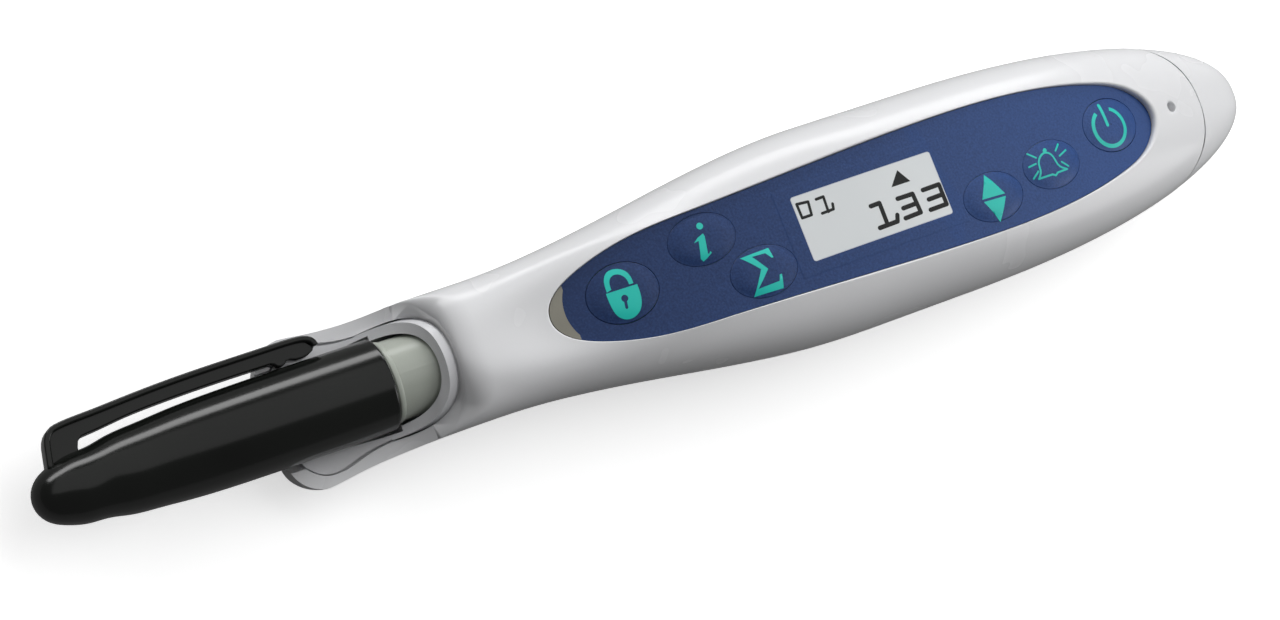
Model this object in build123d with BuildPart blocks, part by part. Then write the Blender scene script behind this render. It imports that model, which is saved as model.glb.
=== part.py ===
"""Pen-style electronic colony counter: a hand-held housing that carries a fibre-tip marker.

Pressing the marker on a culture dish pushes its carriage back against a spring and a switch,
and the housing counts and beeps. X runs along the handle towards the tail, Y across it and Z up,
in millimetres. The origin is the middle of the flat face that the handle rests on.
"""

from build123d import *
from math import sqrt
import os

os.makedirs("parts", exist_ok=True)

# ---------------------------------------------------------------- handle outline
tail_x = 79.1                # rounded end of the handle
belly_end_x = 20.0           # widest from belly_start_x to here
belly_start_x = 1.0
neck_x = -56.0               # narrowest from here forward to flare_x
flare_x = -66.0              # the scoop under the marker widens from here forward
flare_length = 13.0
scoop_front_x = -85.5
belly_half_width = 15.86
neck_half_width = 9.75
scoop_half_width = 11.15
scoop_corner = 5.0           # round of the scoop's front corners, in plan
parting_z = 11.2             # the shells meet on this level, where the handle is widest
belly_crown = 24.6           # top of the outline, before the panel recess is cut
neck_crown = 18.9
keel_z = -0.4                # underside of the outline, before the rest face is cut at zero
crown_front_x = -62.0
crown_back_x = 0.0
crown_end_x = 16.0
scoop_lift = 1.6             # how far the scoop's nose curls up
roundness = 2.5              # exponent of the superelliptic cross-section
wall = 1.5

# ---------------------------------------------------------------- panel on top
panel_apex_x = 16.0
panel_apex_z = 22.5
panel_front_radius = 420.0
panel_rear_radius = 240.0
panel_front_x = -46.7
panel_rear_x = 57.2
panel_half_width = 9.6
overlay_thickness = 0.4
panel_floor = 0.9            # shell wall under the overlay
overlay_gap = 0.1

# ---------------------------------------------------------------- keys
# Each key: place on the panel, half length along the handle and half width across it.
keys = {
    "key_lock": (-35.7, 0.2, 5.4, 4.3),
    "key_info": (-22.1, 3.6, 5.2, 3.7),
    "key_sum": (-15.1, -3.6, 5.2, 3.7),
    "key_arrows": (23.8, -4.4, 5.2, 3.7),
    "key_alarm": (35.6, -2.6, 5.2, 3.7),
    "key_power": (48.8, 0.3, 5.2, 4.2),
}
key_gap = 0.06
key_dome = 0.7
key_pad = 0.4
key_travel = 0.25
pocket_depth = 0.35          # room under a key's pad
stem_radius = 1.3
stem_gap = 0.3
switch_side = 4.2
switch_height = 0.6

# ---------------------------------------------------------------- display, lamp and beeper
window_x = 4.4
window_y = 0.15
window_length = 24.2
window_width = 9.8
window_corner = 0.9
window_gap = 0.05
glass_length = 27.0
glass_width = 11.6
glass_gap = 0.3
glass_top = 21.2
glass_thickness = 2.2
holder_rim = 1.0
holder_height = 2.9
lens_circle = 6.5            # round front end of the overlay, which the lens fits around
lens_width = 2.2             # the lens crescent on the centre line
lens_horn_x = 3.1            # how far back its horns reach
lens_rise = 0.3
lens_leg_x = -45.3
lens_leg = 1.35
lens_leg_half_width = 1.2
lens_leg_end_z = 16.35
lamp_z = 16.3
lamp_height = 0.8
lamp_length = 4.4
beeper_x = 60.2
beeper_z = 15.3
beeper_radius = 5.0
beeper_thickness = 0.5
beeper_hole_x = 61.4
beeper_hole_radius = 0.85

# ---------------------------------------------------------------- circuit board and screws
board_z = 16.5
board_thickness = 0.8
board_half_width = 8.4
board_front_x = -40.0
board_rear_x = 54.0
board_screws_at = [(-28.6, -3.2), (30.0, 5.6), (43.0, -6.0)]
board_screw_radius = 0.7
board_boss_radius = 1.5
board_pilot_end_z = 19.2
shell_screws_at = [(-8.0, 11.0), (-8.0, -11.0), (44.0, 11.55), (44.0, -11.55)]
screw_radius = 0.95
screw_head_radius = 1.7
screw_head = 1.2
screw_seat_z = 7.0
boss_radius = 2.5
pilot_gap = 0.05
pilot_end_z = 15.6

# ---------------------------------------------------------------- marker
pen_z = 9.4
marker_length = 137.0        # with its cap on
barrel_end_x = 17.3
barrel_radius = 5.7
barrel_wall = 0.8
plug_length = 7.0            # of the nose piece inside the barrel
plug_gap = 0.03
section_radius = 5.2         # nose of the marker, inside its cap
section_front_x = -88.0
nose_x = -98.0
nose_radius = 2.2
nib_x = -102.0
nib_radius = 1.1
cap_mouth_x = -70.0
cap_radius = 6.6
cap_bore = 5.3
cap_step_x = -100.0
cap_seal_x = -107.0
cap_seal_seat = 4.15
clip_half_width = 1.9
clip_web_half_width = 1.2

# ---------------------------------------------------------------- carriage, spring and count switch
mouth_x = -61.0              # top of the arch in the shell
mouth_reach = 30.0           # the arch's cut runs this far forward
collar_radius = 7.7
collar_back_x = -56.0
collar_flare = 6.25          # lead-in of the collar's bore
trough_radius = 7.0
carriage_bore_gap = 0.15
sleeve_wall = 0.75
guide_gap = 0.08
carriage_gap = 0.25
count_travel = 0.8
spoon_half_width = 9.0
spoon_back_x = -70.0
spoon_thickness = 1.0
spigot_radius = 1.9
spring_radius = 3.0
spring_wire = 0.5
spring_turns = 4
saddle_x = 8.0
rib = 1.6
bulkhead = 1.5
bulkhead_half_width = 6.0
bulkhead_top_z = 14.5
count_switch_side = 6.0
count_switch_depth = 3.5
plunger_radius = 1.7

# ---------------------------------------------------------------- battery and tail drawer
seam_x = 68.0
seam_radius = 13.25
wing_front_x = 61.0
seam_gap = 0.12
slide_gap = 0.15
cell_x = 47.5
cell_radius = 8.0
cell_height = 3.2
tray_floor_z = 6.4
tray_floor = 0.8
tray_top_z = 10.2
tray_half_width = 8.8
rail_half_width = 9.0
rail_length = 23.0
contact_x = 36.7
contact_length = 10.3
contact_half_width = 1.5
contact_thickness = 0.3
upper_contact_z = 10.55
lower_contact_z = 6.75

# ---------------------------------------------------------------- sizes that follow
marker_front_x = barrel_end_x - marker_length
section_back_x = cap_mouth_x + 0.2
trough_back_x = cap_mouth_x + 0.6
plug_radius = barrel_radius - barrel_wall - plug_gap
sleeve_bore = barrel_radius + carriage_bore_gap
sleeve_radius = sleeve_bore + sleeve_wall
sleeve_end_x = barrel_end_x + 2.3
bore_radius = collar_radius + carriage_gap
guide_radius = sleeve_radius + guide_gap
guide_front_x = collar_back_x + count_travel + 0.2
cavity_front_x = guide_front_x + 3.0
spoon_front_x = scoop_front_x + 1.2
bulkhead_x = sleeve_end_x + 7.4
spigot_end_x = bulkhead_x + bulkhead + 0.3
switch_x = spigot_end_x + 1.2
board_top = board_z + board_thickness
stem_end_z = board_top + switch_height + key_travel + 0.05
tray_front_x = cell_x - cell_radius - 0.9
rail_x = cell_x + 3.5
pen_axis = Axis((0, 0, pen_z), (1, 0, 0))
far = 60.0                   # reach of cutting solids beyond the handle


def ease(t):
    """Smooth step from 0 to 1."""
    t = min(max(t, 0.0), 1.0)
    return t * t * (3 - 2 * t)


def half_width(x):
    """Half the width of the handle's outline at x."""
    if x > belly_end_x:
        return belly_half_width * sqrt(1 - ((x - belly_end_x) / (tail_x - belly_end_x)) ** 2.3)
    belly = ease((x - neck_x) / (belly_start_x - neck_x))
    scoop = ease((flare_x - x) / flare_length)
    return (
        neck_half_width
        + (belly_half_width - neck_half_width) * belly
        + (scoop_half_width - neck_half_width) * scoop
    )


def crown(x):
    """Height of the outline's top at x."""
    if x > crown_end_x:
        along = (x - crown_end_x) / (tail_x - crown_end_x)
        return parting_z + (belly_crown - parting_z) * (1 - along**1.8) ** 0.65
    rise = ease((x - crown_front_x) / (crown_back_x - crown_front_x))
    return neck_crown + (belly_crown - neck_crown) * rise


def keel(x):
    """Height of the outline's underside at x."""
    if x > belly_end_x:
        along = (x - belly_end_x) / (tail_x - belly_end_x)
        return parting_z - (parting_z - keel_z) * (1 - along**2.6) ** 0.6
    return keel_z + scoop_lift * ease((flare_x - x) / (flare_x - scoop_front_x))


def panel_height(x):
    """Height of the panel's surface at x."""
    radius = panel_front_radius if x < panel_apex_x else panel_rear_radius
    return panel_apex_z - radius + sqrt(radius**2 - (x - panel_apex_x) ** 2)


def hull(inset, front_x, rear_x, front_steps=12):
    """The handle's outline as a solid, smaller by inset all round."""
    front = [front_x + (belly_end_x - front_x) * step / front_steps for step in range(front_steps)]
    rear = [
        belly_end_x + (rear_x - belly_end_x) * part
        for part in (0, 0.22, 0.42, 0.58, 0.71, 0.81, 0.89, 0.95, 0.985, 1)
    ]
    bulge = 0.5 ** (1 / roundness)
    with BuildPart() as solid:
        for x in front + rear:
            wide = half_width(x) - inset
            with BuildSketch(Plane.YZ.offset(x)):
                with BuildLine():
                    for side in (1, -1):
                        for level in (crown(x) - inset, keel(x) + inset):
                            height = level - parting_z
                            Spline(
                                (side * wide, parting_z),
                                (side * wide * bulge, parting_z + height * bulge),
                                (0, level),
                                tangents=[(0, height), (-side, 0)],
                            )
                make_face()
        loft()
    return solid.part


def above_panel(depth, front_x, rear_x):
    """All the space above a surface that lies depth under the panel's, between two stations."""
    with BuildPart() as space:
        with BuildSketch(Plane.XZ):
            with BuildLine():
                front = RadiusArc(
                    (front_x, panel_height(front_x) - depth),
                    (panel_apex_x, panel_apex_z - depth),
                    panel_front_radius,
                )
                rear = RadiusArc(
                    (panel_apex_x, panel_apex_z - depth),
                    (rear_x, panel_height(rear_x) - depth),
                    panel_rear_radius,
                )
                Polyline(front @ 0, (front_x, far), (rear_x, far), rear @ 1)
            make_face()
        extrude(amount=far, both=True)
    return space.part


def panel_outline(inset):
    """The panel's outline as a sketch, smaller by inset."""
    front = panel_apex_x - panel_front_x
    rear = panel_rear_x - panel_apex_x
    half = panel_half_width - inset
    with BuildSketch() as outline:
        with BuildLine():
            for side in (1, -1):
                Spline(
                    (panel_rear_x - inset, 0),
                    (panel_apex_x + rear * 0.93 - inset / 2, side * half * 0.47),
                    (panel_apex_x + rear * 0.78, side * half * 0.74),
                    (panel_apex_x, side * half),
                    (panel_apex_x - front * 0.61, side * half * 0.835),
                    (panel_apex_x - front * 0.89, side * half * 0.585),
                    (panel_front_x + inset, 0),
                    tangents=[(0, side), (0, -side)],
                    tangent_scalars=(1, 1),
                )
        make_face()
    return outline.sketch


def pen_tube(stations):
    """Solid of revolution round the marker's axis, from (x, radius) stations."""
    with BuildPart() as solid:
        with BuildSketch(Plane.XZ):
            Polygon(*[(x, pen_z + radius) for x, radius in stations], align=None)
        revolve(axis=pen_axis)
    return solid.part


def mouth_space(brow_points):
    """All the space in front of and above a slanted brow, given from its top to its front end."""
    with BuildPart() as space:
        with BuildSketch(Plane.XZ):
            with BuildLine():
                brow = Spline(*brow_points)
                top_x = brow_points[0][0]
                front_x, front_z = brow_points[-1]
                Polyline(brow @ 0, (top_x, far), (front_x - 10, far), (front_x - 10, front_z), brow @ 1)
            make_face()
        extrude(amount=far, both=True)
    return space.part


# ---------------------------------------------------------------- shared cutting solids
outer = hull(0, scoop_front_x - 1, tail_x - 0.35)
inner = hull(wall, cavity_front_x, tail_x - 2.8, 10)
core = hull(wall / 2, cavity_front_x, tail_x - 2.0, 10)

with BuildPart() as main_zone:
    # The housing in front of the tail seam.
    with BuildSketch(Plane.XY.offset(-far)):
        with Locations((seam_x - seam_radius, 0)):
            Circle(seam_radius)
        with Locations((wing_front_x - far * 2, 0)):
            Rectangle(far * 4, far * 2)
    extrude(amount=far * 2)

with BuildPart() as cavity:
    # The hollow of the housing: the outline less its wall, the panel's floor and the end wall.
    add(inner)
    add(
        above_panel(overlay_thickness + panel_floor, panel_front_x - 0.9, panel_rear_x + 0.9),
        mode=Mode.SUBTRACT,
    )
    with BuildSketch(Plane.XY.offset(-far)):
        with Locations((seam_x - seam_radius, 0)):
            Circle(seam_radius - wall)
        with Locations((seam_x - seam_radius - far * 2, 0)):
            Rectangle(far * 4, far * 2)
    extrude(amount=far * 2, mode=Mode.INTERSECT)

# Space cut from the front of the housing: the slanted arch, running out into the scoop.
shell_mouth = mouth_space([
    (mouth_x, neck_crown + 2),
    (mouth_x - 0.4, pen_z + bore_radius - 0.2),
    (mouth_x - 3.6, pen_z + 2.9),
    (mouth_x - 7.6, pen_z - 0.4),
    (mouth_x - 14, pen_z - 2.5),
    (mouth_x - mouth_reach, pen_z - 4.2),
])

# Space cut from the front of the carriage: its rim stands in front of the shell's arch.
carriage_mouth = mouth_space([
    (mouth_x - 1.6, neck_crown + 2),
    (mouth_x - 2.2, pen_z + sleeve_bore + 0.4),
    (mouth_x - 5.4, pen_z + 2.3),
    (mouth_x - 9.4, pen_z - 0.6),
    (mouth_x - 14.5, pen_z - 2.55),
    (mouth_x - mouth_reach, pen_z - 4.2),
])


def spoon_plan(margin):
    """Plan of the carriage's finger spoon as a sketch, grown by margin."""
    with BuildSketch() as plan:
        with BuildLine():
            for side in (1, -1):
                Spline(
                    (spoon_front_x - margin, 0),
                    (spoon_front_x - margin + 0.9, side * (spoon_half_width * 0.7 + margin)),
                    (spoon_front_x + 4.0, side * (spoon_half_width + margin)),
                    (spoon_front_x + 8.5, side * (collar_radius + 0.5 + margin)),
                    (spoon_back_x, side * (collar_radius - 0.2 + margin)),
                    tangents=[(0, side), (1, 0)],
                    tangent_scalars=(1, 1),
                )
            Line(
                (spoon_back_x, collar_radius - 0.2 + margin),
                (spoon_back_x, -collar_radius + 0.2 - margin),
            )
        make_face()
    return plan.sketch


def key_plane(x, y):
    """Plane that lies on the panel's surface at a key."""
    radius = panel_front_radius if x < panel_apex_x else panel_rear_radius
    slope = (panel_apex_x - x) / radius
    return Plane(origin=(x, y, panel_height(x)), x_dir=(1, 0, slope), z_dir=(-slope, 0, 1))


# ---------------------------------------------------------------- more cutting solids
with BuildPart() as panel_recess:
    with BuildSketch():
        add(panel_outline(0))
    extrude(amount=far)
    add(above_panel(overlay_thickness, panel_front_x - 2, panel_rear_x + 2), mode=Mode.INTERSECT)

with BuildPart() as spoon_pocket:
    # Room under the spoon, with space behind it for the travel of the carriage.
    with BuildSketch():
        add(spoon_plan(carriage_gap))
        with Locations((count_travel, 0)):
            add(spoon_plan(carriage_gap))
    extrude(amount=far)
    add(
        carriage_mouth.moved(Location((count_travel, 0, -spoon_thickness - carriage_gap))),
        mode=Mode.INTERSECT,
    )

carriage_bore = pen_tube([
    (scoop_front_x - 9, 0),
    (scoop_front_x - 9, bore_radius),
    (guide_front_x, bore_radius),
    (guide_front_x, guide_radius),
    (cavity_front_x + 1, guide_radius),
    (cavity_front_x + 1, 0),
])

with BuildPart() as scoop_zone:
    # Rounds the scoop's front corners in plan.
    with BuildSketch(Plane.XY.offset(-far)):
        with Locations((scoop_front_x, 0)):
            Rectangle(20, 2 * (scoop_half_width - 0.3), align=(Align.MIN, Align.CENTER))
        fillet(vertices().group_by(Axis.X)[0], scoop_corner)
        with Locations((scoop_front_x + 12, 0)):
            Rectangle(far * 4, far * 2, align=(Align.MIN, Align.CENTER))
    extrude(amount=far * 2)

# ---------------------------------------------------------------- upper shell
with BuildPart() as upper_ribs:
    # Bosses for the screws that come up through the lower shell.
    with BuildSketch(Plane.XY.offset(parting_z)):
        with Locations(*shell_screws_at):
            Circle(boss_radius)
    extrude(amount=pilot_end_z + 1 - parting_z)
    # Bosses that the circuit board is screwed up against.
    with BuildSketch(Plane.XY.offset(board_top)):
        with Locations(*board_screws_at):
            Circle(board_boss_radius)
    extrude(amount=far)
    # Ring that holds the beeper under its hole.
    with BuildSketch(Plane.XY.offset(beeper_z + beeper_thickness)):
        with Locations((beeper_x, 0)):
            Circle(beeper_radius)
            Circle(beeper_radius - 0.8, mode=Mode.SUBTRACT)
    extrude(amount=far)
    add(core, mode=Mode.INTERSECT)

with BuildPart() as upper_shell:
    add(outer)
    add(main_zone.part, mode=Mode.INTERSECT)
    split(bisect_by=Plane.XY.offset(parting_z), keep=Keep.TOP)
    add(cavity.part, mode=Mode.SUBTRACT)
    add(upper_ribs.part)
    with BuildSketch(Plane.XY.offset(parting_z)):
        with Locations(*shell_screws_at):
            Circle(screw_radius + pilot_gap)
    extrude(amount=pilot_end_z - parting_z, mode=Mode.SUBTRACT)
    with BuildSketch(Plane.XY.offset(board_top)):
        with Locations(*board_screws_at):
            Circle(board_screw_radius + pilot_gap)
    extrude(amount=board_pilot_end_z - board_top, mode=Mode.SUBTRACT)
    add(shell_mouth, mode=Mode.SUBTRACT)
    add(carriage_bore, mode=Mode.SUBTRACT)
    add(panel_recess.part, mode=Mode.SUBTRACT)
    # Travel pockets, stem holes and switch reliefs under the keys.
    for x, y, along, across in keys.values():
        with BuildSketch(key_plane(x, y).offset(-overlay_thickness - pocket_depth)):
            Ellipse(along + key_gap, across + key_gap)
        extrude(amount=overlay_thickness, mode=Mode.SUBTRACT)
        with BuildSketch(Plane.XY.offset(board_top)):
            with Locations((x, y)):
                Circle(stem_radius + stem_gap)
        extrude(amount=far, mode=Mode.SUBTRACT)
        with BuildSketch(Plane.XY.offset(board_top)):
            with Locations((x, y)):
                Rectangle(switch_side + 0.4, switch_side + 0.4)
        extrude(amount=switch_height + 0.05, mode=Mode.SUBTRACT)
    # Opening over the display.
    with BuildSketch(Plane.XY.offset(board_top)):
        with Locations((window_x, window_y)):
            Rectangle(glass_length + 2 * glass_gap, glass_width + 2 * glass_gap)
    extrude(amount=far, mode=Mode.SUBTRACT)
    # Slot for the lens's leg, with the lamp's pocket behind it.
    with BuildSketch(Plane.XY.offset(pen_z)):
        with Locations((lens_leg_x, 0)):
            Rectangle(lens_leg + 0.2, 2 * lens_leg_half_width + 0.2)
    extrude(amount=far, mode=Mode.SUBTRACT)
    with BuildSketch(Plane.XY.offset(pen_z)):
        with Locations((lens_leg_x, 0)):
            Rectangle(6.1, 2 * lens_leg_half_width + 0.2, align=(Align.MIN, Align.CENTER))
    extrude(amount=lamp_z + lamp_height + 0.15 - pen_z, mode=Mode.SUBTRACT)
    # Beeper hole.
    with BuildSketch(Plane.XY.offset(parting_z)):
        with Locations((beeper_hole_x, 0)):
            Circle(beeper_hole_radius)
    extrude(amount=far, mode=Mode.SUBTRACT)

# ---------------------------------------------------------------- lower shell
with BuildPart() as lower_ribs:
    # Screw posts.
    with BuildSketch():
        with Locations(*shell_screws_at):
            Circle(boss_radius)
    extrude(amount=parting_z)
    # Saddle that carries the tail of the sleeve.
    with BuildSketch():
        with Locations((saddle_x, 0)):
            Rectangle(rib, 2 * belly_half_width)
    extrude(amount=pen_z)
    # Bulkhead that backs the spring, and the cradle of the count switch.
    with BuildSketch():
        with Locations((bulkhead_x, 0)):
            Rectangle(bulkhead, 2 * bulkhead_half_width, align=(Align.MIN, Align.CENTER))
    extrude(amount=bulkhead_top_z)
    with BuildSketch():
        with Locations((switch_x + 0.4, 0)):
            Rectangle(
                count_switch_depth + slide_gap + rib - 0.4,
                count_switch_side + 2 * (slide_gap + rib),
                align=(Align.MIN, Align.CENTER),
            )
    extrude(amount=pen_z + count_switch_side / 2)
    with BuildSketch(Plane.XY.offset(pen_z - count_switch_side / 2 - 0.05)):
        with Locations((switch_x - 1, 0)):
            Rectangle(
                count_switch_depth + slide_gap + 1,
                count_switch_side + 2 * slide_gap,
                align=(Align.MIN, Align.CENTER),
            )
    extrude(amount=far, mode=Mode.SUBTRACT)
    # Rails of the battery drawer.
    for side in (1, -1):
        with BuildSketch():
            with Locations((rail_x, side * (rail_half_width - 0.1))):
                Rectangle(rail_length, 2.6)
        extrude(amount=tray_floor_z - slide_gap)
        with BuildSketch():
            with Locations((rail_x, side * (rail_half_width + 0.6))):
                Rectangle(rail_length, 1.2)
        extrude(amount=tray_top_z)
    # Rib under the lower battery contact.
    with BuildSketch():
        with Locations((contact_x + 1.0, 0)):
            Rectangle(contact_length, 2 * contact_half_width, align=(Align.MIN, Align.CENTER))
    extrude(amount=lower_contact_z - 0.05)
    add(core, mode=Mode.INTERSECT)

with BuildPart() as lower_shell:
    add(outer)
    add(main_zone.part, mode=Mode.INTERSECT)
    split(bisect_by=Plane.XY.offset(parting_z), keep=Keep.BOTTOM)
    add(cavity.part, mode=Mode.SUBTRACT)
    add(lower_ribs.part)
    # Notch in the rear wall for the drawer.
    with BuildSketch(Plane.XY.offset(tray_floor_z - slide_gap)):
        with Locations((cell_x, 0)):
            Rectangle(far, 2 * rail_half_width, align=(Align.MIN, Align.CENTER))
    extrude(amount=far, mode=Mode.SUBTRACT)
    # Screw holes, counterbored from below.
    with BuildSketch(Plane.XY.offset(-1)):
        with Locations(*shell_screws_at):
            Circle(screw_head_radius + slide_gap)
    extrude(amount=screw_seat_z + 1, mode=Mode.SUBTRACT)
    with BuildSketch():
        with Locations(*shell_screws_at):
            Circle(screw_radius + slide_gap)
    extrude(amount=far, mode=Mode.SUBTRACT)
    # Hole for the spigot through the bulkhead.
    with BuildSketch(Plane.YZ.offset(bulkhead_x - 1)):
        with Locations((0, pen_z)):
            Circle(spigot_radius + 0.3)
    extrude(amount=bulkhead + 2, mode=Mode.SUBTRACT)
    add(carriage_bore, mode=Mode.SUBTRACT)
    add(
        pen_tube([(0, 0), (0, guide_radius), (bulkhead_x, guide_radius), (bulkhead_x, 0)]),
        mode=Mode.SUBTRACT,
    )
    add(shell_mouth, mode=Mode.SUBTRACT)
    add(spoon_pocket.part, mode=Mode.SUBTRACT)
    add(scoop_zone.part, mode=Mode.INTERSECT)
    split(bisect_by=Plane.XY, keep=Keep.TOP)

# ---------------------------------------------------------------- tail drawer
with BuildPart() as battery_tray:
    # Tray, running back into the cap.
    with BuildSketch(Plane.XY.offset(tray_floor_z)):
        with Locations((tray_front_x, 0)):
            Rectangle(tail_x - tray_front_x, 2 * tray_half_width, align=(Align.MIN, Align.CENTER))
    extrude(amount=tray_top_z - tray_floor_z)
    with BuildSketch(Plane.XY.offset(tray_floor_z + tray_floor)):
        with Locations((cell_x, 0)):
            Circle(cell_radius + slide_gap)
        with Locations((cell_x + cell_radius + 2.0, 0)):
            Rectangle(tail_x, 2 * (tray_half_width - 1.2), align=(Align.MIN, Align.CENTER))
    extrude(amount=far, mode=Mode.SUBTRACT)
    with BuildSketch():
        with Locations((contact_x + contact_length + 3.5, 0)):
            Rectangle(
                contact_length * 2,
                2 * (contact_half_width + 0.7),
                align=(Align.MAX, Align.CENTER),
            )
    extrude(amount=far, mode=Mode.SUBTRACT)
    add(core, mode=Mode.INTERSECT)

with BuildPart() as tail_cap:
    add(outer)
    with BuildSketch(Plane.XY.offset(-far)):
        with Locations((seam_x - seam_radius, 0)):
            Circle(seam_radius + seam_gap)
        with Locations((wing_front_x + seam_gap - far * 2, 0)):
            Rectangle(far * 4, far * 2)
    extrude(amount=far * 2, mode=Mode.SUBTRACT)
    add(inner, mode=Mode.SUBTRACT)
    add(battery_tray.part)

with BuildPart() as coin_cell:
    with BuildSketch(Plane.XY.offset(tray_floor_z + tray_floor + 0.05)):
        with Locations((cell_x, 0)):
            Circle(cell_radius)
    extrude(amount=cell_height)
    fillet(edges().filter_by(GeomType.CIRCLE), 0.3)

with BuildPart() as battery_contact_top:
    with BuildSketch(Plane.XZ):
        Polygon(
            (contact_x, board_z),
            (contact_x, upper_contact_z),
            (contact_x + contact_length - 1.0, upper_contact_z),
            (contact_x + contact_length - 1.0, upper_contact_z + contact_thickness),
            (contact_x + contact_thickness, upper_contact_z + contact_thickness),
            (contact_x + contact_thickness, board_z),
            align=None,
        )
    extrude(amount=contact_half_width, both=True)

with BuildPart() as battery_contact_bottom:
    with BuildSketch(Plane.XY.offset(lower_contact_z)):
        with Locations((contact_x + 1.0, 0)):
            Rectangle(contact_length, 2 * contact_half_width, align=(Align.MIN, Align.CENTER))
    extrude(amount=contact_thickness)

# ---------------------------------------------------------------- board and what it carries
with BuildPart() as circuit_board:
    with BuildSketch(Plane.XY.offset(board_z)):
        Polygon(
            (board_front_x, -board_half_width * 0.66),
            (board_front_x + 25, -board_half_width),
            (board_rear_x - 10, -board_half_width),
            (board_rear_x, -board_half_width * 0.92),
            (board_rear_x, board_half_width * 0.92),
            (board_rear_x - 10, board_half_width),
            (board_front_x + 25, board_half_width),
            (board_front_x, board_half_width * 0.66),
            align=None,
        )
        with Locations(*board_screws_at):
            Circle(board_screw_radius + slide_gap, mode=Mode.SUBTRACT)
    extrude(amount=board_thickness)

with BuildPart() as tact_switches:
    with BuildSketch(Plane.XY.offset(board_top)):
        with Locations(*[(x, y) for x, y, along, across in keys.values()]):
            Rectangle(switch_side, switch_side)
    extrude(amount=switch_height)

with BuildPart() as board_screws:
    with BuildSketch(Plane.XY.offset(board_z)):
        with Locations(*board_screws_at):
            Circle(board_screw_radius)
    extrude(amount=board_pilot_end_z - 0.3 - board_z)
    with BuildSketch(Plane.XY.offset(board_z - 0.6)):
        with Locations(*board_screws_at):
            Circle(board_screw_radius + 0.7)
    extrude(amount=0.6)

with BuildPart() as shell_screws:
    with BuildSketch(Plane.XY.offset(screw_seat_z)):
        with Locations(*shell_screws_at):
            Circle(screw_radius)
    extrude(amount=pilot_end_z - 0.4 - screw_seat_z)
    with BuildSketch(Plane.XY.offset(screw_seat_z - screw_head)):
        with Locations(*shell_screws_at):
            Circle(screw_head_radius)
    extrude(amount=screw_head)
    # Cross recess of the driver.
    with BuildSketch(Plane.XY.offset(screw_seat_z - screw_head)):
        with Locations(*shell_screws_at):
            Rectangle(screw_head_radius * 1.2, 0.45)
            Rectangle(0.45, screw_head_radius * 1.2)
    extrude(amount=0.7, mode=Mode.SUBTRACT)

with BuildPart() as lcd_holder:
    with BuildSketch(Plane.XY.offset(board_top)):
        with Locations((window_x, window_y)):
            Rectangle(glass_length + 2 * holder_rim, glass_width + 2 * holder_rim)
    extrude(amount=holder_height)
    with BuildSketch(Plane.XY.offset(glass_top - glass_thickness - 0.05)):
        with Locations((window_x, window_y)):
            Rectangle(glass_length + 0.2, glass_width + 0.2)
    extrude(amount=far, mode=Mode.SUBTRACT)

with BuildPart() as lcd_glass:
    with BuildSketch(Plane.XY.offset(glass_top - glass_thickness)):
        with Locations((window_x, window_y)):
            Rectangle(glass_length, glass_width)
    extrude(amount=glass_thickness)

with BuildPart() as lcd_window:
    with BuildSketch(Plane.XY.offset(glass_top + 0.15)):
        with Locations((window_x, window_y)):
            Rectangle(window_length, window_width)
        fillet(vertices().group_by(Axis.X)[-1], window_corner)
    extrude(amount=far / 2)
    add(above_panel(0, panel_front_x, panel_rear_x), mode=Mode.SUBTRACT)

with BuildPart() as indicator_led:
    with BuildSketch(Plane.XY.offset(lamp_z)):
        with Locations((board_front_x, 0)):
            Rectangle(lamp_length, 2 * lens_leg_half_width - 0.4, align=(Align.MAX, Align.CENTER))
    extrude(amount=lamp_height)

with BuildPart() as beeper:
    with BuildSketch(Plane.XY.offset(beeper_z)):
        with Locations((beeper_x, 0)):
            Circle(beeper_radius)
    extrude(amount=beeper_thickness)

# ---------------------------------------------------------------- panel overlay, lens and keys
def lens_plan(margin):
    """Plan of the crescent lens as a sketch, grown by margin."""
    with BuildSketch() as plan:
        add(panel_outline(overlay_gap - margin))
        with Locations((panel_front_x + lens_horn_x + margin, 0)):
            Rectangle(far * 2, far * 2, align=(Align.MIN, Align.CENTER), mode=Mode.SUBTRACT)
        with Locations((panel_front_x + lens_width + lens_circle, 0)):
            Circle(lens_circle - margin, mode=Mode.SUBTRACT)
    return plan.sketch


with BuildPart() as indicator_lens:
    with BuildSketch():
        add(lens_plan(0))
    extrude(amount=far)
    add(above_panel(overlay_thickness, panel_front_x - 2, panel_rear_x), mode=Mode.INTERSECT)
    add(above_panel(-lens_rise, panel_front_x - 2, panel_rear_x), mode=Mode.SUBTRACT)
    with BuildSketch(Plane.XY.offset(lens_leg_end_z)):
        with Locations((lens_leg_x, 0)):
            Rectangle(lens_leg, 2 * lens_leg_half_width)
    extrude(amount=panel_height(lens_leg_x) - overlay_thickness / 2 - lens_leg_end_z)

with BuildPart() as display_overlay:
    with BuildSketch():
        add(panel_outline(overlay_gap))
        add(lens_plan(overlay_gap), mode=Mode.SUBTRACT)
        with Locations((window_x, window_y)):
            Rectangle(window_length + 2 * window_gap, window_width + 2 * window_gap, mode=Mode.SUBTRACT)
    extrude(amount=far)
    add(above_panel(overlay_thickness, panel_front_x - 2, panel_rear_x), mode=Mode.INTERSECT)
    add(above_panel(0, panel_front_x - 2, panel_rear_x), mode=Mode.SUBTRACT)
    for x, y, along, across in keys.values():
        with BuildSketch(key_plane(x, y).offset(-2)):
            Ellipse(along + key_gap, across + key_gap)
        extrude(amount=4, mode=Mode.SUBTRACT)


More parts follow.
